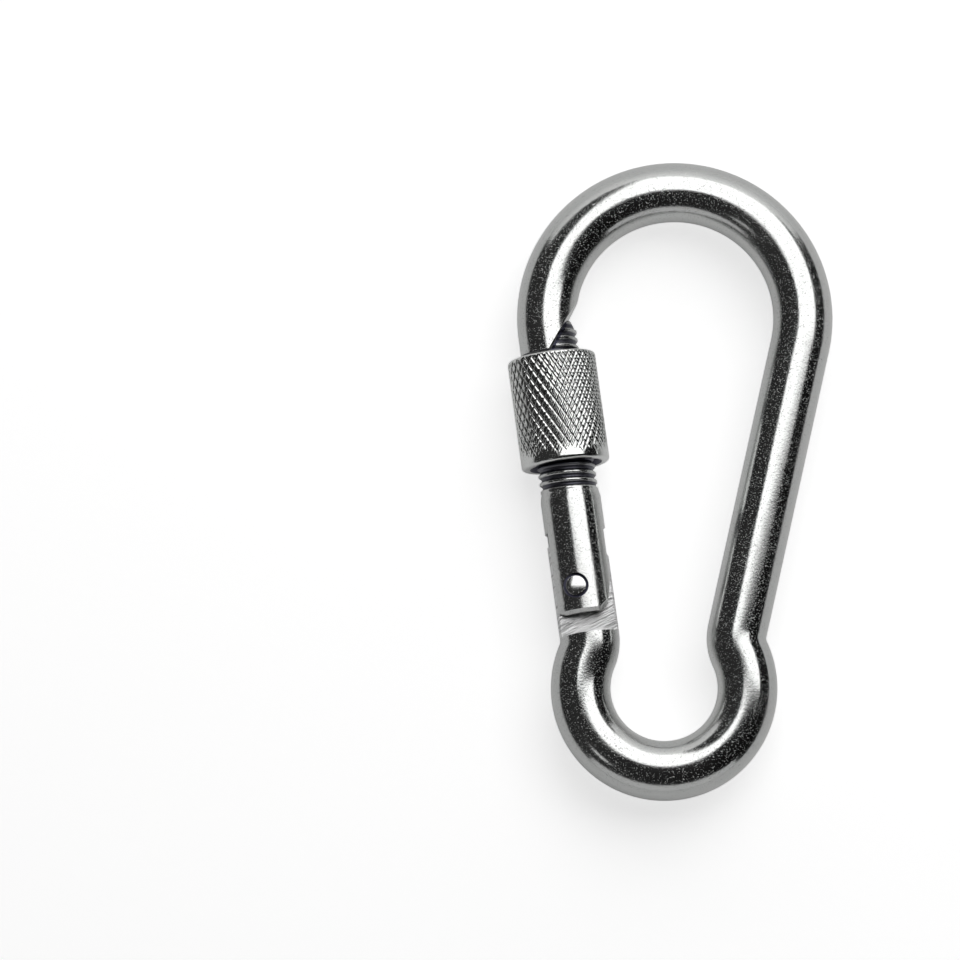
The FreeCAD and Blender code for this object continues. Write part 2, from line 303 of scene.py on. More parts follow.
def bar_sheets():
    """Skin of the bar, a ring carried along the centreline and started where each of its lines
    leaves the nose's cut; the cut itself; the milled ledge; and the tang with its pivot hole."""
    turn = split_ring(TANG_HALF, BAR_R, SIDE_STEPS, BAR_FACE_STEPS)
    centre, heading = bar_centreline()
    inward = np.stack([heading[:, 1], -heading[:, 0]], -1)
    step = np.arange(len(centre), dtype=float)

    def skin_at(at):
        """The bar's surface where row at runs along the centreline, column by turn."""
        c = np.stack([np.interp(at, step, centre[:, k]) for k in (0, 1)], -1)
        n = np.stack([np.interp(at, step, inward[:, k]) for k in (0, 1)], -1)
        n /= np.linalg.norm(n, axis=-1, keepdims=True)
        flat = c + n * BAR_R * np.cos(turn)[..., None]
        high = np.broadcast_to(BAR_R * np.sin(turn), at.shape)
        return np.concatenate([flat, high[..., None]], -1)

    settled, probes = 60.0, 2400   # from row settled on, each ring is level across the bar
    fine = np.broadcast_to(np.linspace(0, settled, probes)[:, None], (probes, len(turn)))
    probe = skin_at(fine)
    clear = probe[..., 1] >= nose_cap(probe[..., 0])
    start = fine[clear.argmax(0), 0]
    beside_cut = [0.0, 0.55, 1.2]
    rows = np.concatenate([beside_cut, step[2:]])[:, None]
    at = np.where(rows < settled, start + rows * (settled - start) / settled, rows)
    skin = skin_at(at)
    skin[0, :, 1] = nose_cap(skin[0, :, 0])
    upper, lower = halves(skin[0])
    sheets = [(skin, True), (np.stack([upper, lower]), False)]

    ledge_out = skin[-1]
    ledge_in = ledge_out * [1, 1, 0] + np.clip(ledge_out, -TANG_HALF, TANG_HALF) * [0, 0, 1]
    sheets.append((np.stack([ledge_out, ledge_in]), True))
    rise = np.linspace(0, 1, TANG_ROWS)[:, None]
    height = SHOULDER + rise * (tang_top(ledge_in[:, 0]) - SHOULDER)
    tang = np.stack([np.broadcast_to(ledge_in[:, 0], height.shape), height,
                     np.broadcast_to(ledge_in[:, 2], height.shape)], -1)
    upper, lower = halves(tang[-1])
    sheets.append((np.stack([upper, lower]), False))
    hole = np.array([-PIVOT_OFFSET, 0.0])
    half = len(turn) // 2
    front, back = tang[:, :half + 1], tang[:, np.r_[0, len(turn) - 1:half - 1:-1]]
    heights = front[:, half // 2, 1]
    rows = [nearest(heights, y) for y in TANG_BLOCK_UP]
    cols = [nearest(front[0, :, 0], x) for x in TANG_BLOCK_IN]
    for side, plate in ((1, front), (-1, back)):
        parts, circle = sheet_with_hole(plate, rows, cols, hole, PIN_R + PIN_GAP,
                                        lambda x, y, z=side * TANG_HALF: np.full(x.shape, z))
        sheets += parts
    sheets.append((np.stack([flat_ring(circle, TANG_HALF), flat_ring(circle, -TANG_HALF)]), True))
    return sheets


SPECK_SCALE = 6600.0           # raised specks of the plate, noise cells per metre
PIT_SCALE = 3600.0             # finer unevenness between them
CLOUD_SCALE = 130.0            # slow changes of shine and tone
SPECK_HEIGHT = 3.4             # of a speck, as a share of the pits
GRAIN_HEIGHT = 0.000014        # of the pits, metres
SCORE_ACROSS = 4200.0          # cutter marks, noise cells per metre
SCORE_ALONG = 420.0
SCORE_HEIGHT = 5.0
PLATE_SHINE = (0.11, 0.2)      # roughness, from and to
BARE_SHINE = 0.33
# roughness where the colour is painted dark as shade
PAINTED_SHADE_SHINE = 0.4


def bright_zinc(name, tone=0.62, grain=1.0, cut_mark=None, cut_turn=0.0, painted_shade_mark=None):
    """Bright zinc plate: a metal whose fine grain is a bump of two noises, with cloudy
    roughness.  Where the face attribute cut_mark is 1 it is bare milled steel: paler, rougher
    and scored at the angle cut_turn.  Where the face attribute named by the last argument is 1,
    shade is painted in: the colour is nearly black and the roughness higher."""
    material = bpy.data.materials.new(name)
    material.use_nodes = True
    nodes, links = material.node_tree.nodes, material.node_tree.links
    shader = nodes["Principled BSDF"]
    shader.inputs["Metallic"].default_value = 1.0
    place = nodes.new("ShaderNodeTexCoord")

    def noise(scale, detail, rough=0.55):
        node = nodes.new("ShaderNodeTexNoise")
        node.inputs["Scale"].default_value = scale
        node.inputs["Detail"].default_value = detail
        node.inputs["Roughness"].default_value = rough
        links.new(place.outputs["Object"], node.inputs["Vector"])
        return node.outputs["Fac"]

    def ramp(source, low, high, low_value, high_value):
        node = nodes.new("ShaderNodeMapRange")
        node.inputs["From Min"].default_value = low
        node.inputs["From Max"].default_value = high
        node.inputs["To Min"].default_value = low_value
        node.inputs["To Max"].default_value = high_value
        links.new(source, node.inputs["Value"])
        return node.outputs["Result"]

    def blend(share, first, second, kind="FLOAT"):
        node = nodes.new("ShaderNodeMix")
        node.data_type = kind
        a, b = (("A", "B") if kind == "FLOAT" else (6, 7))
        for key, value in ((a, first), (b, second)):
            socket = node.inputs[key]
            if isinstance(value, (int, float, tuple)):
                socket.default_value = value
            else:
                links.new(value, socket)
        links.new(share, node.inputs[0])
        return node.outputs[0 if kind == "FLOAT" else 2]

    def face_value(attribute):
        node = nodes.new("ShaderNodeAttribute")
        node.attribute_name = attribute
        return node.outputs["Fac"]

    speck = ramp(noise(SPECK_SCALE, 1.0), 0.645, 0.75, 0.0, 1.0)
    pits = noise(PIT_SCALE, 3.0, 0.6)
    cloud = noise(CLOUD_SCALE, 3.0)
    dull = ramp(cloud, 0.3, 0.7, *PLATE_SHINE)
    darker = (tone * 0.91, tone * 0.94, tone * 0.925, 1)
    lighter = (tone * 1.04, tone * 1.035, tone * 1.02, 1)
    colour = blend(cloud, darker, lighter, "RGBA")
    height = nodes.new("ShaderNodeMath")
    height.operation = "MULTIPLY_ADD"
    links.new(speck, height.inputs[0])
    height.inputs[1].default_value = SPECK_HEIGHT
    links.new(pits, height.inputs[2])
    relief = height.outputs[0]
    if cut_mark:
        cut = face_value(cut_mark)
        spin = nodes.new("ShaderNodeMapping")
        spin.vector_type = "TEXTURE"
        spin.inputs["Rotation"].default_value = (0, 0, math.radians(cut_turn))
        spin.inputs["Scale"].default_value = (1 / SCORE_ALONG, 1 / SCORE_ACROSS, 1 / SCORE_ALONG)
        links.new(place.outputs["Object"], spin.inputs["Vector"])
        score = nodes.new("ShaderNodeTexNoise")
        score.inputs["Scale"].default_value = 1.0
        score.inputs["Detail"].default_value = 4.0
        links.new(spin.outputs["Vector"], score.inputs["Vector"])
        relief = blend(cut, relief, ramp(score.outputs["Fac"], 0.35, 0.65, 0.0, SCORE_HEIGHT))
        dull = blend(cut, dull, BARE_SHINE)
        ridge = ramp(score.outputs["Fac"], 0.36, 0.5, 0.5, 1.0)
        pale = (tone * 1.25, tone * 1.25, tone * 1.25, 1)
        colour = blend(cut, colour, blend(ridge, (0.0, 0.0, 0.0, 1), pale, "RGBA"), "RGBA")
    # Painted shade: where the mark is 1 the colour is made nearly black, standing in for the shade
    # in hollows, and rougher.
    if painted_shade_mark:
        shade_share = face_value(painted_shade_mark)
        dull = blend(shade_share, dull, PAINTED_SHADE_SHINE)
        colour = blend(shade_share, colour, (tone * 0.09, tone * 0.09, tone * 0.13, 1), "RGBA")
    bump = nodes.new("ShaderNodeBump")
    bump.inputs["Strength"].default_value = 0.55
    bump.inputs["Distance"].default_value = GRAIN_HEIGHT * grain
    links.new(relief, bump.inputs["Height"])
    links.new(bump.outputs["Normal"], shader.inputs["Normal"])
    links.new(dull, shader.inputs["Roughness"])
    links.new(colour, shader.inputs["Base Color"])
    return material


bar = weld("bent_bar", bar_sheets(), "frame", "hook_frame")
NEAR = 0.02                    # a little more than the rounding of numbers, for tests of place
MILLED_TOP = TANG_TOP + 1.5    # above everything that was milled
MILL_TURN = 28.0               # angle of the cutter marks, degrees
soften_edges(bar, EDGE, lambda m: (m[:, 1] > SHOULDER - 0.05) & (np.abs(m[:, 0]) < BOW_R / 2))
face_marks(bar, "milled", lambda c: (c[:, 1] > SHOULDER - NEAR) & (c[:, 1] < MILLED_TOP)
           & (np.abs(c[:, 0]) < BAR_R + 1))
bar.data.materials.append(bright_zinc("plated_bar_finish", cut_mark="milled", cut_turn=MILL_TURN))

# ==== Gate ==============================================================================
# Turned from round bar: forked below to straddle the tang, bored for the spring, threaded
# above, with a wedge-shaped head that closes under the nose.  Plated like the bar.

STEM_R = 3.75
SLOT_HALF = 1.45
SLOT_END = 7.2                 # heights are up the gate's axis from the pivot
STEM_END = 11.2
THREAD_START = 12.0
THREAD_R = 3.6
THREAD_DEPTH = 0.34
THREAD_FULLNESS = 0.62         # above 0.5 leaves flats on crests and roots
PITCH = 1.0
FORK_END = -3.4
FORK_CHAMFER = 0.45
CORNER_CUT = 1.0               # inner lower corner of the cheeks, at 45 degrees
SIDE_RELIEF = 1.0              # how far the cheeks' inner side is milled back at that corner
RELIEF_TOP = 2.0
FORK_EDGE = 0.09               # rounding of the fork's edges
BORE_R = 1.4
BORE_END = 24.3
NUT_TOP = 29.3
HEAD_TOP = NUT_TOP + 3.9
HEAD_LOW = NUT_TOP + 0.1
HEAD_CUT = 0.8                 # inner top edge of the head
HEAD_SLOPE = math.tan(math.radians(35.0))
NOSE_GAP = 0.12                # between the nose's bevel and the head's corner
HEAD_CORNER = (HEAD_TOP - NOSE_TIP) / NOSE_RISE - NOSE_START + NOSE_GAP / math.cos(NOSE_BEVEL)
RECESS_R = PIN_R + 0.3         # ring sunk round each rivet end
RECESS_DEPTH = 0.6

GATE_FACE_STEPS = 46           # round the stem, on each broad face
THREAD_ROWS = 250
CHEEK_ROWS = 48
EDGE_PASSES = 30               # to settle the cheeks' edge, whose place depends on its height
CHEEK_BLOCK_UP = (2.35, -2.2)
CHEEK_BLOCK_IN = (1.5, -3.05)


def thread_radius(turn, height):
    """Radius of the thread: THREAD_R less THREAD_DEPTH times valley.  The valley is a half less
    THREAD_FULLNESS times the cosine of the phase, kept within 0 and 1; the phase runs once a
    PITCH and back once a turn.  The valley fades in over the first turn and out at the top."""
    phase = (height - THREAD_START) / PITCH - turn / (2 * math.pi)
    valley = np.clip(0.5 - THREAD_FULLNESS * np.cos(2 * math.pi * phase), 0, 1)
    fade_in = np.clip((height - THREAD_START + 0.15) / 0.9, 0, 1)
    fade_out = np.clip((HEAD_TOP - height) / 0.4 + 0.4, 0, 1)
    return THREAD_R - THREAD_DEPTH * valley * (fade_in * fade_out)


def head_height(x):
    """Height of the gate's head over x: low outside, up a steep bevel, flat, then cut off."""
    bevel_foot = HEAD_CORNER - (HEAD_TOP - HEAD_LOW) * HEAD_SLOPE
    up = HEAD_LOW + np.clip(x - bevel_foot, 0, None) / HEAD_SLOPE
    cut = HEAD_TOP - np.clip(x - (THREAD_R - HEAD_CUT), 0, None)
    return np.minimum(np.minimum(up, HEAD_TOP), cut)


def gate_sheets():
    """Stem, thread and head as one skin of revolution with a helical valley; below the slot's
    end each cheek is a skin closed by a flat; the slot's end is a ring round the bore."""
    turn = split_ring(SLOT_HALF, STEM_R, SIDE_STEPS, GATE_FACE_STEPS)
    count, half = len(turn), len(turn) // 2
    plain = np.concatenate([np.linspace(SLOT_END, STEM_END, 14),
                            np.linspace(STEM_END, THREAD_START, 6)[1:]])
    plain_r = np.interp(plain, [STEM_END, THREAD_START], [STEM_R, THREAD_R])
    stem = np.stack([plain_r[:, None] * np.cos(turn), np.repeat(plain[:, None], count, 1),
                     plain_r[:, None] * np.sin(turn)], -1)
    top = head_height(THREAD_R * np.cos(turn))
    height = THREAD_START + np.linspace(0, 1, THREAD_ROWS)[:, None] * (top - THREAD_START)
    radius = thread_radius(turn, height)
    radius[0] = THREAD_R
    thread = np.stack([radius * np.cos(turn), height, radius * np.sin(turn)], -1)
    thread[-1, :, 1] = head_height(thread[-1, :, 0])
    upper, lower = halves(thread[-1])
    sheets = [(stem, True), (thread, True), (np.stack([upper, lower]), False)]

    slot_end = stem[0] * [1, 1, 0] + np.clip(stem[0], -SLOT_HALF, SLOT_HALF) * [0, 0, 1]
    spread = slot_end[:, [0, 2]]
    rim = BORE_R * spread / np.linalg.norm(spread, axis=1, keepdims=True)
    mouth = np.stack([rim[:, 0], np.full(count, SLOT_END), rim[:, 1]], -1)
    bore_top = mouth + [0, BORE_END - SLOT_END, 0]
    sheets.append((np.stack([slot_end, mouth, bore_top, bore_top * [0, 1, 0]]), True))

    face = np.arange(SIDE_STEPS, half - SIDE_STEPS + 1)
    share = np.linspace(0, 1, len(face))
    fall = np.append(np.linspace(0, 1, CHEEK_ROWS), 1.0)[:, None]
    skin_r = np.full((len(fall), 1), STEM_R)
    skin_r[-1] = STEM_R - FORK_CHAMFER
    relieved = STEM_R - SIDE_RELIEF
    relief_foot = FORK_END + CORNER_CUT
    x = STEM_R * np.cos(turn[face]) + 0 * fall
    for _ in range(EDGE_PASSES):
        low = FORK_END + np.clip(x[-1] - (relieved - CORNER_CUT), 0, None)
        rows = SLOT_END + fall * (low + FORK_CHAMFER - SLOT_END)
        rows[-1] = low
        limit = relieved + SIDE_RELIEF * (rows - relief_foot) / (RELIEF_TOP - relief_foot)
        edge = np.arcsin(SLOT_HALF / skin_r)
        start = np.maximum(edge, np.arccos(np.clip(limit / skin_r, -1, 1)))
        angle = start + share * (math.pi - edge - start)
        x = skin_r * np.cos(angle)
    skin = np.stack([x, rows, skin_r * np.sin(angle)], -1)
    hole = np.array([-PIVOT_OFFSET, 0.0])
    middle = skin[:, len(face) // 2, 1]
    block_rows = [nearest(middle, y) for y in CHEEK_BLOCK_UP]
    block_cols = [nearest(skin[0, :, 0], x) for x in CHEEK_BLOCK_IN]
    floor = math.sqrt(STEM_R ** 2 - PIVOT_OFFSET ** 2) - RECESS_DEPTH
    for side in (1, -1):
        flip = np.array([1, 1, side])
        cheek = skin * flip
        flat = skin * [1, 1, 0] + [0, 0, side * SLOT_HALF]
        sheets.append((np.stack([cheek[-1], flat[-1]]), False))
        sheets.append((np.stack([cheek[:, 0], flat[:, 0]]), False))
        parts, rim = sheet_with_hole(cheek, block_rows, block_cols, hole, RECESS_R,
                                     lambda x, y, s=side: s * np.sqrt(STEM_R ** 2 - x ** 2))
        sheets += parts
        parts, pin_rim = sheet_with_hole(flat, block_rows, block_cols, hole, PIN_R,
                                         lambda x, y, s=side: np.full(x.shape, s * SLOT_HALF))
        sheets += parts
        lip = np.concatenate([rim, side * np.sqrt(STEM_R ** 2 - rim[:, :1] ** 2)], -1)
        recess = [lip, flat_ring(rim, side * floor), flat_ring(pin_rim, side * floor),
                  flat_ring(pin_rim, side * SLOT_HALF)]
        sheets.append((np.stack(recess), True))
    return sheets


# Painted shade on the gate: how dark its colour is painted in the bore, the rivet's ring, the strip
# beside the head's bevel, the thread's valleys and inside the nut.
PAINTED_SHADE_STRIP = 0.6               # height of the dark strip along the head's bevel
VALLEY_SHADE = 0.9
IN_NUT_SHADE = 0.85
CREST_SHADE = 0.1
SAW_TURN = -10.0               # angle of the saw marks, degrees


def painted_shade_on_gate(c):
    """How much shade is painted into each place's colour: fully in the bore, round the rivet and
    beside the head's bevel, nearly so in the thread's valleys and on the thread inside the nut,
    part-way on its crests above the nut."""
    x, up = c[:, 0], c[:, 1]
    from_axis = np.hypot(x, c[:, 2])
    on_head = up > NUT_TOP - 0.3
    bore = (from_axis < BORE_R + 0.05) & (up > SLOT_END - 0.1)
    ring = np.hypot(x + PIVOT_OFFSET, up) < RECESS_R + NEAR
    bevel = on_head & (x < HEAD_CORNER) & (head_height(x) - up < PAINTED_SHADE_STRIP)
    depth = np.clip((THREAD_R - 0.06 - from_axis) / 0.14, 0, 1)
    valley = VALLEY_SHADE * depth * (up > THREAD_START + 0.3)
    in_nut = IN_NUT_SHADE * np.clip((up - THREAD_START - 2.5) / 0.8, 0, 1) * (up < NUT_TOP - 0.3)
    shade_amount = np.maximum(np.maximum(valley, in_nut), CREST_SHADE * on_head)
    return np.where(bore | ring | bevel, 1.0, shade_amount)


gate = weld("forked_gate", gate_sheets(), "gate", "gate")
soften_edges(gate, FORK_EDGE, lambda m: (m[:, 1] < THREAD_START - 0.1)
             & (np.hypot(m[:, 0], m[:, 2]) > 1.2 * BORE_R))
face_marks(gate, "sawn", lambda c: (np.abs(c[:, 2]) < SLOT_HALF + 0.01)
           & (c[:, 1] < SLOT_END + 0.01))
# Painted shade: the gate's recesses, the strip by the head's bevel and the thread's valleys get a
# dark colour.
face_marks(gate, "painted_shade", painted_shade_on_gate)
gate.data.materials.append(bright_zinc("plated_gate_finish", cut_mark="sawn", cut_turn=SAW_TURN,
                                       painted_shade_mark="painted_shade"))

# ==== Locking nut =======================================================================
# A sleeve turned from bar, rolled with a diamond knurl, tapped below and bored plain above
# so that it slides over the nose.  Screwed up the gate's thread it locks the gate.

NUT_R = 5.5
NUT_LENGTH = 13.8
NUT_BOTTOM = NUT_TOP - NUT_LENGTH
NUT_ROUND = 0.45               # rounding of both ends
SLEEVE_R = 4.5                 # plain bore that slides over the nose
SLEEVE_FOOT = NUT_TOP - 5.0
SLEEVE_EDGE = 0.12             # bevel at the sleeve's mouth
TAPPED_R = 3.65
MOUTH_R = NUT_R - NUT_ROUND - 0.55
MOUTH_DEPTH = 1.2
KNURL_COUNT = 33
KNURL_ANGLE = math.radians(30.0)
GROOVE_HALF = 0.18
GROOVE_DEPTH = 0.17
KNURL_TRACKS = (               # hand of the helix, shift in spacings, strength
    (1, 0.0, 1.0), (-1, 0.0, 1.0), (1, 0.44, 0.7), (-1, 0.4, 0.7))
NUT_TURN_STEPS = 600
NUT_WALL_ROWS = 138


def knurl_depth(turn, height):
    """Depth of the knurl: V grooves on left-hand and right-hand helices, KNURL_COUNT of each,
    with a fainter second track where the rolls did not quite repeat.  The arc length, plus or
    less the height times the helix's tangent, is counted in groove spacings with a slow drift
    of sines; the depth falls evenly from GROOVE_DEPTH to 0 at GROOVE_HALF beside a whole number."""
    spacing = 2 * math.pi * NUT_R / KNURL_COUNT
    depth = np.zeros(np.broadcast(turn, height).shape)
    drift = 0.05 * np.sin(3 * turn + 1.0) + 0.04 * np.sin(2 * turn - height / 3)
    for sense, offset, strength in KNURL_TRACKS:
        across = (turn * NUT_R + sense * height * math.tan(KNURL_ANGLE)) / spacing + offset + drift
        gap = np.abs(across - np.round(across)) * spacing * math.cos(KNURL_ANGLE)
        if offset:
            strength = strength * np.clip(0.5 + 0.8 * np.sin(2 * turn + sense * height / 4), 0, 1)
        depth = np.maximum(depth, strength * GROOVE_DEPTH * np.clip(1 - gap / GROOVE_HALF, 0, 1))
    low_fade = np.clip((height - NUT_BOTTOM - NUT_ROUND - 0.35) / 1.5, 0, 1)
    top_fade = np.clip((NUT_TOP - NUT_ROUND * 0.4 - height) / 0.35, 0, 1)
    return depth * low_fade * top_fade


def nut_sheets():
    """One profile turned about the gate's axis: knurled outside, quarter rounds at both ends,
    countersunk mouth, bore and wider sleeve inside; the knurl's depth is taken off the wall."""
    turn = np.linspace(0, 2 * math.pi, NUT_TURN_STEPS, endpoint=False)
    bend = np.linspace(0, math.pi / 2, 7)
    low_r = NUT_R - NUT_ROUND * (1 - np.sin(bend))
    low_y = NUT_BOTTOM + NUT_ROUND * (1 - np.cos(bend))
    wall_y = np.linspace(NUT_BOTTOM + NUT_ROUND, NUT_TOP - NUT_ROUND, NUT_WALL_ROWS)[1:-1]
    high_r, high_y = low_r[::-1], NUT_TOP - NUT_ROUND * (1 - np.cos(bend[::-1]))
    sleeve_r = [SLEEVE_R + SLEEVE_EDGE, SLEEVE_R, SLEEVE_R, TAPPED_R]
    sleeve_y = [NUT_TOP, NUT_TOP - SLEEVE_EDGE, SLEEVE_FOOT, SLEEVE_FOOT - SLEEVE_R + TAPPED_R]
    mouth_r, mouth_y = [TAPPED_R, MOUTH_R], [NUT_BOTTOM + MOUTH_DEPTH, NUT_BOTTOM]
    radius = np.concatenate([mouth_r, low_r, np.full(len(wall_y), NUT_R), high_r, sleeve_r])
    height = np.concatenate([mouth_y, low_y, wall_y, high_y, sleeve_y])
    skin_r = radius[:, None] - np.where(radius[:, None] > NUT_R - NUT_ROUND * 0.6,
                                        knurl_depth(turn, height[:, None]), 0.0)
    profile = np.stack([skin_r * np.cos(turn), np.broadcast_to(height[:, None], skin_r.shape),
                        skin_r * np.sin(turn)], -1)
    return [(np.concatenate([profile, profile[:1]]), True)]


nut = weld("knurled_nut", nut_sheets(), "nut", "locking_nut")
# Painted shade: everything inside the nut, the countersunk mouth, the tapped bore and the sleeve,
# is painted dark.
face_marks(nut, "painted_shade", lambda c: np.hypot(c[:, 0], c[:, 2]) < MOUTH_R - 0.01)
nut.data.materials.append(bright_zinc("plated_nut_finish", tone=0.74, grain=0.4, painted_shade_mark="painted_shade"))

# ==== Pivot rivet =======================================================================
# A plain steel pin through the fork and the tang, its ends staked into shallow domes that
# sit in a sunk ring.

RIVET_HALF = math.sqrt(STEM_R ** 2 - PIVOT_OFFSET ** 2) - 0.02
RIVET_EDGE = 0.06
DOME = 0.2
DOME_POWER = 2.4               # above 2 the dome is flatter in the middle


def rivet_sheets():
    """A profile turned about the pivot's axis: a straight shank, closed at both poles by domes
    whose height is half the length less DOME times the share of the radius to DOME_POWER."""
    turn = np.linspace(0, 2 * math.pi, 64, endpoint=False)
    rise = np.linspace(0, 1, 12)
    dome_z = RIVET_HALF - DOME * rise ** DOME_POWER
    radius = PIN_R * np.concatenate([rise, rise[::-1]])[:, None]
    z = np.concatenate([dome_z, -dome_z[::-1]])[:, None]
    profile = [radius * np.cos(turn) - PIVOT_OFFSET, radius * np.sin(turn),
               np.broadcast_to(z, (len(z), len(turn)))]
    return [(np.stack(profile, -1), True)]


rivet = weld("staked_rivet", rivet_sheets(), "gate", "pivot_rivet")
soften_edges(rivet, RIVET_EDGE, lambda m: np.abs(m[:, 2]) < RIVET_HALF)
rivet.data.materials.append(bright_zinc("staked_rivet_finish", tone=0.7, grain=0.6))

# ==== Spring plunger ====================================================================
# A small pin turned from steel bar that the spring presses on the tang's cam.  Its thinner
# spigot centres the coil.

PLUNGER_FOOT = TANG_TOP + 0.04
PLUNGER_SEAT = PLUNGER_FOOT + 4.6
PLUNGER_R = 1.3
PLUNGER_ROUND = 0.26
SEAT_EDGE = 0.08
SPIGOT_R = 0.7
SPIGOT_ROUND = 0.2
SPIGOT_END = PLUNGER_SEAT + 1.6


def plunger_sheets():
    """A stepped profile turned about the gate's axis, its corners rounded by quarter arcs and
    its ends closed at the axis."""
    turn = np.linspace(0, 2 * math.pi, 48, endpoint=False)
    bend = np.linspace(0, math.pi / 2, 5)
    foot_r = PLUNGER_R - PLUNGER_ROUND * (1 - np.sin(bend))
    foot_y = PLUNGER_FOOT + PLUNGER_ROUND * (1 - np.cos(bend))
    seat_r = [PLUNGER_R, PLUNGER_R - SEAT_EDGE, SPIGOT_R]
    seat_y = [PLUNGER_SEAT - SEAT_EDGE, PLUNGER_SEAT, PLUNGER_SEAT]
    tip_r = SPIGOT_R - SPIGOT_ROUND * (1 - np.cos(bend))
    tip_y = SPIGOT_END - SPIGOT_ROUND * (1 - np.sin(bend))
    radius = np.concatenate([[0], foot_r, seat_r, tip_r, [0]])[:, None]
    height = np.concatenate([[PLUNGER_FOOT], foot_y, seat_y, tip_y, [SPIGOT_END]])[:, None]
    profile = [radius * np.cos(turn), np.broadcast_to(height, (len(height), len(turn))),
               radius * np.sin(turn)]
    return [(np.stack(profile, -1), True)]


plunger = weld("spring_plunger_pin", plunger_sheets(), "plunger", "spring_plunger")
plunger.data.materials.append(bright_zinc("turned_plunger_finish", tone=0.5, grain=1.2))

# ==== Gate spring =======================================================================
# Compression spring of drawn wire between the plunger's shoulder and the end of the bore,
# with its last turn closed up at each end.  The real spring shortens as the gate swings open;
# this mesh keeps one length.

WIRE_R = 0.2
COIL_R = BORE_R - 0.1 - WIRE_R
COIL_TURNS = 13
NODES_A_TURN = 28
WIRE_NODES = 12
CLOSED_PITCH = 0.3             # pitch of the closed end turns, as a share of the others'
END_GAP = 0.03
SPRING_FOOT = PLUNGER_SEAT + END_GAP + WIRE_R
SPRING_TOP = BORE_END - END_GAP - WIRE_R


def spring_sheets():
    """A round wire carried along a helix whose pitch is small over the first and last turn:
    its height is the running sum of the pitch."""
    travel = np.linspace(0, COIL_TURNS, COIL_TURNS * NODES_A_TURN + 1)
    opened = np.clip(np.minimum(travel, COIL_TURNS - travel) - 0.5, 0, 1)
    pitch = CLOSED_PITCH + (1 - CLOSED_PITCH) * opened
    climb = np.concatenate([[0], np.cumsum((pitch[1:] + pitch[:-1]) / 2)])
    height = SPRING_FOOT + (SPRING_TOP - SPRING_FOOT) * climb / climb[-1]
    angle = 2 * math.pi * travel
    round_wire = np.linspace(0, 2 * math.pi, WIRE_NODES, endpoint=False)
    radius = COIL_R + WIRE_R * np.cos(round_wire)
    skin = np.stack([radius * np.cos(angle)[:, None],
                     height[:, None] + WIRE_R * np.sin(round_wire),
                     radius * np.sin(angle)[:, None]], -1)
    ends = [skin[k].mean(0, keepdims=True).repeat(WIRE_NODES, 0) for k in (0, -1)]
    return [(np.concatenate([ends[0][None], skin, ends[1][None]]), True)]


spring = weld("coil_spring", spring_sheets(), "gate", "gate_spring")
spring.data.materials.append(bright_zinc("spring_wire_finish", tone=0.45, grain=0.7))
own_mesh(spring)

# ==== Studio ============================================================================
# A pale table under one large flat softbox that hangs over the big bow, a wall behind that
# fades downwards, a grey card in front, dark to the left and black to the right, so that the
# bar carries crisp bands of light and dark.

TABLE = 0.9                    # half width of the table and of both cards, metres
WALL = 0.8                     # distance of the wall and of the front card
WALL_HEIGHT = 0.5
FRONT_HEIGHT = 0.36
SOFTBOX_HEIGHT = 0.5
GLINT_HEIGHT = 0.45
GLINT_FROM, GLINT_TO = -0.42, -0.3


def reach(degrees, height=SOFTBOX_HEIGHT):
    """Distance from the hook, at a height, of a line that leans this far from upright."""
    return height * math.tan(math.radians(degrees))


def card(name, corners, tone, glow=(0.0, 0.0), shown=0.0):
    """A plain matt card through four corners.  Its own glow runs from the first value at its
    first edge to the second at its far edge; shown is added only for rays from the camera."""
    mesh = bpy.data.meshes.new(name)
    mesh.from_pydata(corners, [], [(0, 1, 2, 3)])
    uv = mesh.uv_layers.new(name="along")
    for loop, value in zip(uv.data, ((0, 0), (1, 0), (1, 1), (0, 1))):
        loop.uv = value
    piece = bpy.data.objects.new(name, mesh)
    bpy.context.scene.collection.objects.link(piece)
    material = bpy.data.materials.new(name)
    material.use_nodes = True
    nodes, links = material.node_tree.nodes, material.node_tree.links
    shader = nodes["Principled BSDF"]
    shader.inputs["Base Color"].default_value = (tone, tone, tone, 1)
    shader.inputs["Roughness"].default_value = 0.9
    shader.inputs["Specular IOR Level"].default_value = 0.1
    shader.inputs["Emission Color"].default_value = (1, 1, 1, 1)
    place = nodes.new("ShaderNodeUVMap")
    place.uv_map = "along"
    split = nodes.new("ShaderNodeSeparateXYZ")
    links.new(place.outputs["UV"], split.inputs[0])
    fade = nodes.new("ShaderNodeMapRange")
    fade.inputs["To Min"].default_value = glow[0]
    fade.inputs["To Max"].default_value = glow[1]
    links.new(split.outputs["Y"], fade.inputs["Value"])
    path = nodes.new("ShaderNodeLightPath")
    total = nodes.new("ShaderNodeMath")
    total.operation = "MULTIPLY_ADD"
    links.new(path.outputs["Is Camera Ray"], total.inputs[0])
    total.inputs[1].default_value = shown
    links.new(fade.outputs["Result"], total.inputs[2])
    links.new(total.outputs[0], shader.inputs["Emission Strength"])
    mesh.materials.append(material)


def softbox(name, low_x, high_x, low_y, high_y, height, bright):
    """A rectangular lamp that lies flat at a height and shines straight down, with an even
    brightness: its power is pi times its area times that brightness."""
    lamp = bpy.data.lights.new(name, "AREA")
    lamp.shape = "RECTANGLE"
    lamp.size, lamp.size_y = high_x - low_x, high_y - low_y
    lamp.energy = math.pi * lamp.size * lamp.size_y * bright
    holder = bpy.data.objects.new(name, lamp)
    holder.location = ((low_x + high_x) / 2, (low_y + high_y) / 2, height)
    bpy.context.scene.collection.objects.link(holder)


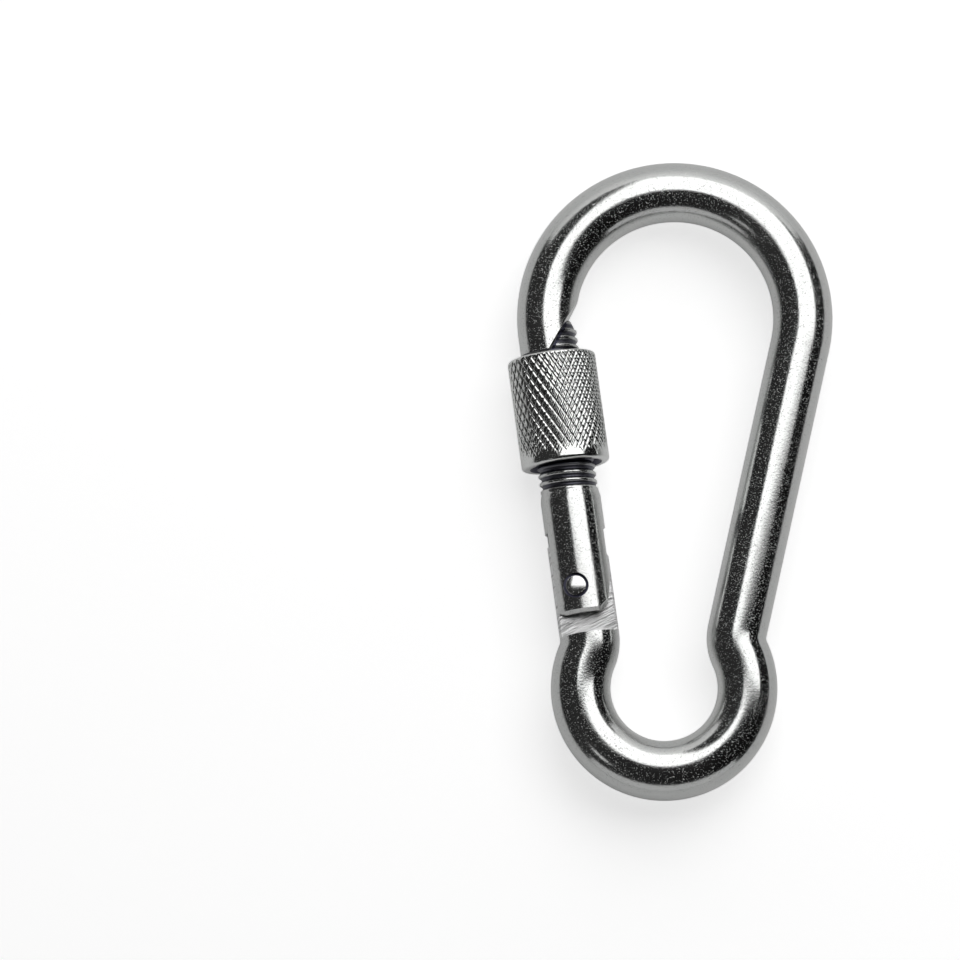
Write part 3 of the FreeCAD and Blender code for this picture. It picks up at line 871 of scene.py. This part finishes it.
card("table", [(-TABLE, -TABLE, 0), (TABLE, -TABLE, 0), (TABLE, TABLE, 0), (-TABLE, TABLE, 0)],
     tone=0.75, glow=(0.2, 0.2), shown=0.47)
card("wall", [(-TABLE, WALL, WALL_HEIGHT), (TABLE, WALL, WALL_HEIGHT), (TABLE, WALL, 0),
              (-TABLE, WALL, 0)],
     tone=0.2, glow=(0.9, 0.45))
card("front_card", [(TABLE, -WALL, 0), (-TABLE, -WALL, 0), (-TABLE, -WALL, FRONT_HEIGHT),
                    (TABLE, -WALL, FRONT_HEIGHT)],
     tone=0.2, glow=(0.5, 0.5))
softbox("overhead", reach(-15), reach(47), reach(5), reach(57), SOFTBOX_HEIGHT, bright=1.9)
softbox("glint", GLINT_FROM, GLINT_TO, GLINT_FROM, GLINT_TO, GLINT_HEIGHT, bright=0.9)

SKY_LEFT = 0.03                # dim light from the left, dimmer from the right
SKY_RIGHT = 0.006
SKY_SHOWN = 0.9                # for rays from the camera
world = bpy.data.worlds.new("studio")
bpy.context.scene.world = world
world.use_nodes = True
sky, sky_links = world.node_tree.nodes, world.node_tree.links
sky_place = sky.new("ShaderNodeTexCoord")
sky_split = sky.new("ShaderNodeSeparateXYZ")
sky_links.new(sky_place.outputs["Generated"], sky_split.inputs[0])
sky_side = sky.new("ShaderNodeMapRange")
sky_side.inputs["From Min"].default_value = -0.6
sky_side.inputs["From Max"].default_value = 0.6
sky_side.inputs["To Min"].default_value = SKY_LEFT
sky_side.inputs["To Max"].default_value = SKY_RIGHT
sky_links.new(sky_split.outputs["X"], sky_side.inputs["Value"])
sky_path = sky.new("ShaderNodeLightPath")
sky_mix = sky.new("ShaderNodeMix")
sky_links.new(sky_path.outputs["Is Camera Ray"], sky_mix.inputs["Factor"])
sky_links.new(sky_side.outputs["Result"], sky_mix.inputs["A"])
sky_mix.inputs["B"].default_value = SKY_SHOWN
sky_links.new(sky_mix.outputs["Result"], sky["Background"].inputs["Strength"])
sky["Background"].inputs["Color"].default_value = (1, 1, 1, 1)

CAMERA_DISTANCE = 0.9
CAMERA_RISE = 80.5             # degrees above the table, on the side of the small eye
CAMERA_ROLL = 0.25
FIELD = 0.1191                 # width that the camera takes in at the hook, metres
BESIDE = 0.0236                # the camera looks this far to the left of the hook
LOWER = 0.00012                # and this far towards the small eye
SENSOR = 36.0
lens = bpy.data.cameras.new("camera")
lens.sensor_width = SENSOR
lens.lens = SENSOR * CAMERA_DISTANCE / FIELD
lens.clip_start = 0.01
camera = bpy.data.objects.new("camera", lens)
rise, roll = math.radians(CAMERA_RISE), math.radians(CAMERA_ROLL)
middle = np.array([-BESIDE, -LOWER, NUT_R * MM])
camera.location = middle + CAMERA_DISTANCE * np.array(
    [math.cos(rise) * math.sin(roll), -math.cos(rise) * math.cos(roll), math.sin(rise)])
camera.rotation_euler = (math.pi / 2 - rise, 0, roll)
bpy.context.scene.collection.objects.link(camera)
bpy.context.scene.camera = camera
bpy.context.scene.view_settings.view_transform = "Standard"
